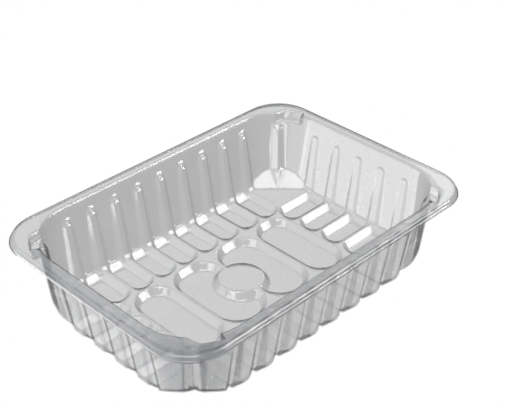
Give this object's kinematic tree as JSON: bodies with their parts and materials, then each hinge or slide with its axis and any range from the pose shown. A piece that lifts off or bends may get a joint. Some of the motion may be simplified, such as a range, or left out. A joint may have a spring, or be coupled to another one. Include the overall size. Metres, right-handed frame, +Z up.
{
  "type": "plastic food tray",
  "caption": "Clear thermoformed rectangular food tray with ribbed sloping walls, a floor of slots and oval recesses, and a flat rim with a turned-down lip.",
  "frame": {"origin": "on the surface that the tray stands on, under the middle of the floor", "axes": "+X along the tray's length, +Y across it, +Z up out of its opening"},
  "size_m": [0.1894, 0.1332, 0.0445],
  "materials": {
    "clear_plastic": "smooth, glossy, see-through"
  },
  "bodies": {
    "root": {"tray": "clear_plastic"}
  },
  "joints": []
}
